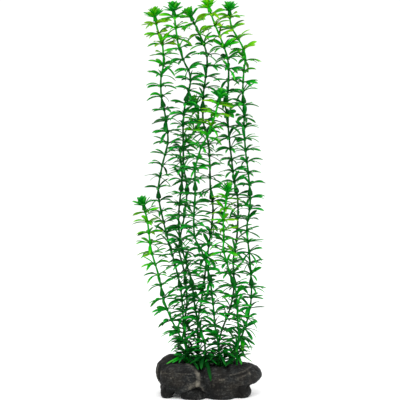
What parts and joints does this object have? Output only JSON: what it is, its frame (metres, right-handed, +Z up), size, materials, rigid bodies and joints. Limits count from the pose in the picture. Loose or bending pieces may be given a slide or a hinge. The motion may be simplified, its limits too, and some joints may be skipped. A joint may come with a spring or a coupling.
{
  "type": "artificial waterweed aquarium ornament",
  "caption": "Free-standing moulded waterweed bunch: plug-together sprigs with whorls of narrow leaves and top crowns, rising from a rock-shaped base.",
  "frame": {"origin": "middle of the flat underside of the rock base, on the plane that it stands on", "axes": "+Z up along the strands, -Y towards the front of the ornament, +X to the right seen from the front"},
  "size_m": [0.101, 0.0687, 0.302],
  "materials": {
    "rock": "dark grey-brown moulded resin, matt with a faint sheen",
    "crown": "bright green moulded plastic, semi-gloss",
    "upper": "yellowish green moulded plastic, semi-gloss",
    "lower": "dark green moulded plastic, semi-gloss"
  },
  "bodies": {
    "root": {"rock_base": "rock", "tall_1_crown": "crown", "tall_1_sprig_1": "upper", "tall_1_sprig_2": "lower", "tall_1_sprig_3": "lower", "tall_1_sprig_4": "lower", "tall_2_crown": "crown", "tall_2_sprig_1": "upper", "tall_2_sprig_2": "lower", "tall_2_sprig_3": "lower", "tall_2_sprig_4": "lower", "tall_3_crown": "crown", "tall_3_sprig_1": "upper", "tall_3_sprig_2": "lower", "tall_3_sprig_3": "lower", "tall_3_sprig_4": "lower", "tall_4_crown": "crown", "tall_4_sprig_1": "upper", "tall_4_sprig_2": "lower", "tall_4_sprig_3": "lower", "tall_4_sprig_4": "lower", "tall_5_crown": "crown", "tall_5_sprig_1": "upper", "tall_5_sprig_2": "lower", "tall_5_sprig_3": "lower", "tall_5_sprig_4": "lower", "middle_1_crown": "crown", "middle_1_sprig_1": "upper", "middle_1_sprig_2": "lower", "middle_1_sprig_3": "lower", "middle_2_crown": "crown", "middle_2_sprig_1": "upper", "middle_2_sprig_2": "lower", "middle_2_sprig_3": "lower", "short_1_crown": "crown", "short_1_sprig_1": "upper", "short_1_sprig_2": "lower", "short_2_crown": "crown", "short_2_sprig_1": "upper", "short_2_sprig_2": "lower"}
  },
  "joints": []
}
